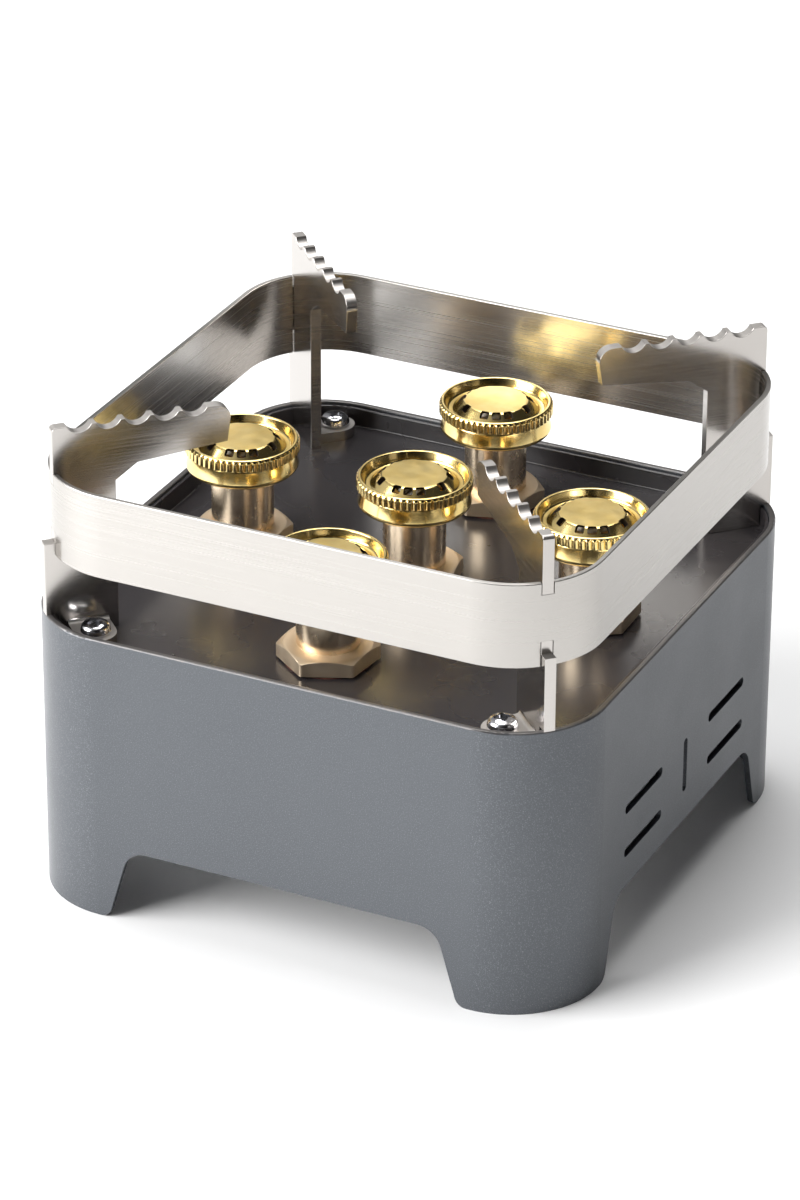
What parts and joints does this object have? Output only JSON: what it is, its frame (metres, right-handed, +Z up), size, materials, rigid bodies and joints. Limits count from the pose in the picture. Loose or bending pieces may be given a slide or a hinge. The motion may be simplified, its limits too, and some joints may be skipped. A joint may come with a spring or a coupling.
{
  "type": "alcohol spirit stove",
  "caption": "Square tabletop alcohol spirit stove: sheet-metal casing on corner feet, brass wick burners, steel heat ring and toothed pot brackets.",
  "frame": {"origin": "centre of the square formed by the four feet, on the surface the stove stands on", "axes": "+Z up; the casing's vented walls face +X and -X, its plain walls face +Y and -Y"},
  "size_m": [0.115, 0.115, 0.098],
  "materials": {
    "casing_paint": "satin grey paint",
    "plate_enamel": "gloss black-brown coating",
    "tank_steel": "drawn stainless",
    "gasket_fibre": "matt",
    "ring_steel": "fine brushed stainless",
    "bracket_steel": "polished stainless",
    "fastener_steel": "bright zinc",
    "stem_brass": "satin turned brass",
    "head_brass": "polished brass",
    "seal_fibre": "matt vulcanised fibre",
    "wick_fibre": "twisted glass fibre"
  },
  "bodies": {
    "stove": {"casing_shell": "casing_paint", "top_plate": "plate_enamel", "fuel_tank": "tank_steel", "tank_gasket": "gasket_fibre", "heat_ring": "ring_steel", "pot_bracket_front_left": "bracket_steel", "pot_bracket_front_right": "bracket_steel", "pot_bracket_back_right": "bracket_steel", "pot_bracket_back_left": "bracket_steel", "bracket_screws": "fastener_steel", "bracket_nuts": "fastener_steel", "burner_seals": "seal_fibre", "burner_lock_nuts": "stem_brass", "burner_stem_centre": "stem_brass", "wick_centre": "wick_fibre", "burner_stem_front": "stem_brass", "wick_front": "wick_fibre", "burner_stem_right": "stem_brass", "wick_right": "wick_fibre", "burner_stem_back": "stem_brass", "wick_back": "wick_fibre", "burner_stem_left": "stem_brass", "wick_left": "wick_fibre"},
    "centre_seal": {"head_seal_centre": "seal_fibre"},
    "centre_head": {"burner_head_centre": "head_brass"},
    "front_seal": {"head_seal_front": "seal_fibre"},
    "front_head": {"burner_head_front": "head_brass"},
    "right_seal": {"head_seal_right": "seal_fibre"},
    "right_head": {"burner_head_right": "head_brass"},
    "back_seal": {"head_seal_back": "seal_fibre"},
    "back_head": {"burner_head_back": "head_brass"},
    "left_seal": {"head_seal_left": "seal_fibre"},
    "left_head": {"burner_head_left": "head_brass"}
  },
  "joints": [
    {"name": "centre_head_rise", "type": "slide", "parent": "stove", "child": "centre_seal", "axis": [0, 0, 1], "range_m": [0, 0.003]},
    {"name": "centre_head_turn", "type": "hinge", "parent": "centre_seal", "child": "centre_head", "pos_m": [0, 0, 0.077], "axis": [0, 0, 1], "range_deg": [0, 1080]},
    {"name": "front_head_rise", "type": "slide", "parent": "stove", "child": "front_seal", "axis": [0, 0, 1], "range_m": [0, 0.003]},
    {"name": "front_head_turn", "type": "hinge", "parent": "front_seal", "child": "front_head", "pos_m": [0, -0.037, 0.077], "axis": [0, 0, 1], "range_deg": [0, 1080]},
    {"name": "right_head_rise", "type": "slide", "parent": "stove", "child": "right_seal", "axis": [0, 0, 1], "range_m": [0, 0.003]},
    {"name": "right_head_turn", "type": "hinge", "parent": "right_seal", "child": "right_head", "pos_m": [0.037, 0, 0.077], "axis": [0, 0, 1], "range_deg": [0, 1080]},
    {"name": "back_head_rise", "type": "slide", "parent": "stove", "child": "back_seal", "axis": [0, 0, 1], "range_m": [0, 0.003]},
    {"name": "back_head_turn", "type": "hinge", "parent": "back_seal", "child": "back_head", "pos_m": [0, 0.037, 0.077], "axis": [0, 0, 1], "range_deg": [0, 1080]},
    {"name": "left_head_rise", "type": "slide", "parent": "stove", "child": "left_seal", "axis": [0, 0, 1], "range_m": [0, 0.003]},
    {"name": "left_head_turn", "type": "hinge", "parent": "left_seal", "child": "left_head", "pos_m": [-0.037, 0, 0.077], "axis": [0, 0, 1], "range_deg": [0, 1080]}
  ],
  "couplings": [
    {"joint": "centre_head_rise", "follows": "centre_head_turn", "m_per_rad": 0.00015915},
    {"joint": "front_head_rise", "follows": "front_head_turn", "m_per_rad": 0.00015915},
    {"joint": "right_head_rise", "follows": "right_head_turn", "m_per_rad": 0.00015915},
    {"joint": "back_head_rise", "follows": "back_head_turn", "m_per_rad": 0.00015915},
    {"joint": "left_head_rise", "follows": "left_head_turn", "m_per_rad": 0.00015915}
  ]
}
